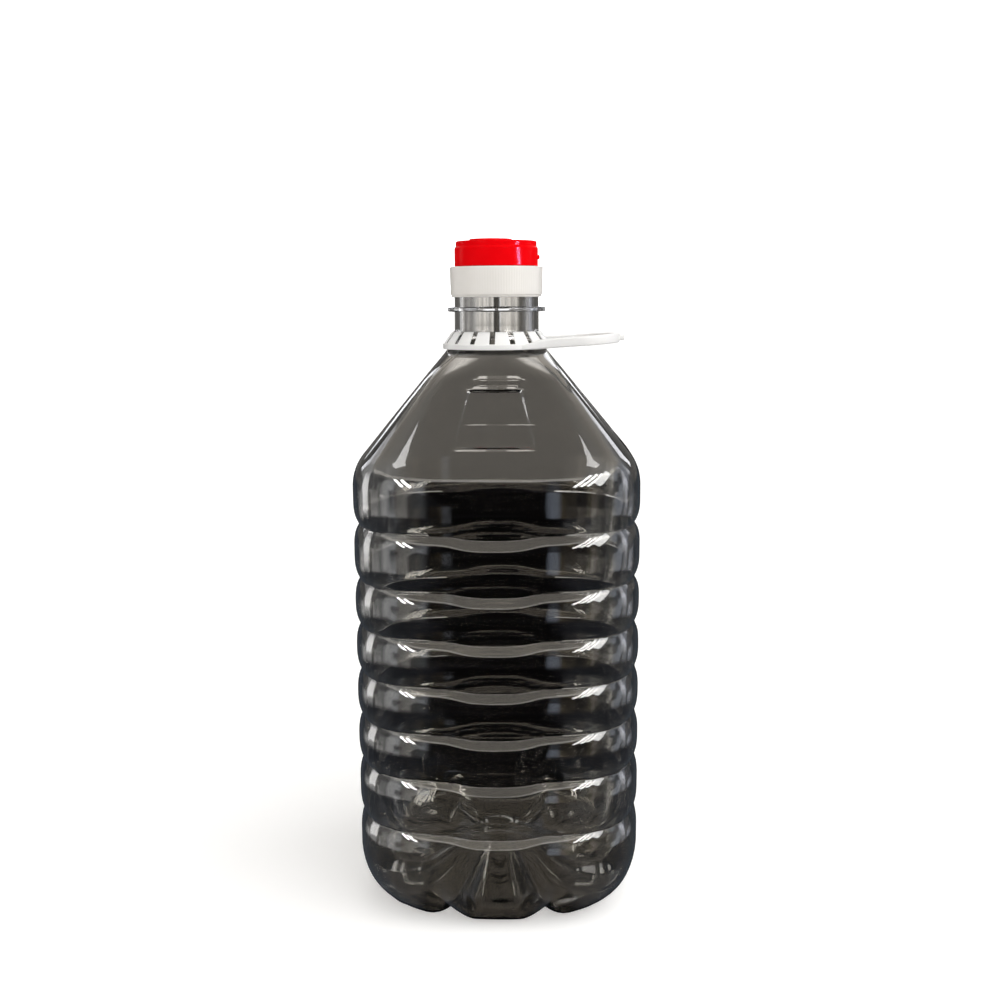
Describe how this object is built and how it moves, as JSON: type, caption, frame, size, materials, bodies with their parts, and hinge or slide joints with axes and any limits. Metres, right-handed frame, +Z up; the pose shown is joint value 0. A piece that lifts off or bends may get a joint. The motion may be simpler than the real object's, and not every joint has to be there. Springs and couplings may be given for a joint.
{
  "type": "plastic storage jug",
  "caption": "Tall clear smoke-tinted plastic jug, square with soft corners and ribbed sides, with a loop carry handle on its neck and a white screw cap under a red lid.",
  "frame": {"origin": "centre of the underside, on the floor under the axis of the neck", "axes": "+Z up along the neck, +X towards the loop of the handle, -Y towards the front"},
  "size_m": [0.1524, 0.1524, 0.3578],
  "materials": {
    "clear_plastic": "clear, tinted smoke grey, glossy",
    "white_plastic": "satin moulded",
    "red_plastic": "glossy moulded"
  },
  "bodies": {
    "jug": {"bottle": "clear_plastic", "cap_base": "white_plastic", "cap_lid": "red_plastic"},
    "handle": {"carry_handle": "white_plastic"}
  },
  "joints": [
    {"name": "handle_swivel", "type": "hinge", "parent": "jug", "child": "handle", "pos_m": [0, 0, 0.305], "axis": [0, 0, 1], "continuous": true}
  ]
}
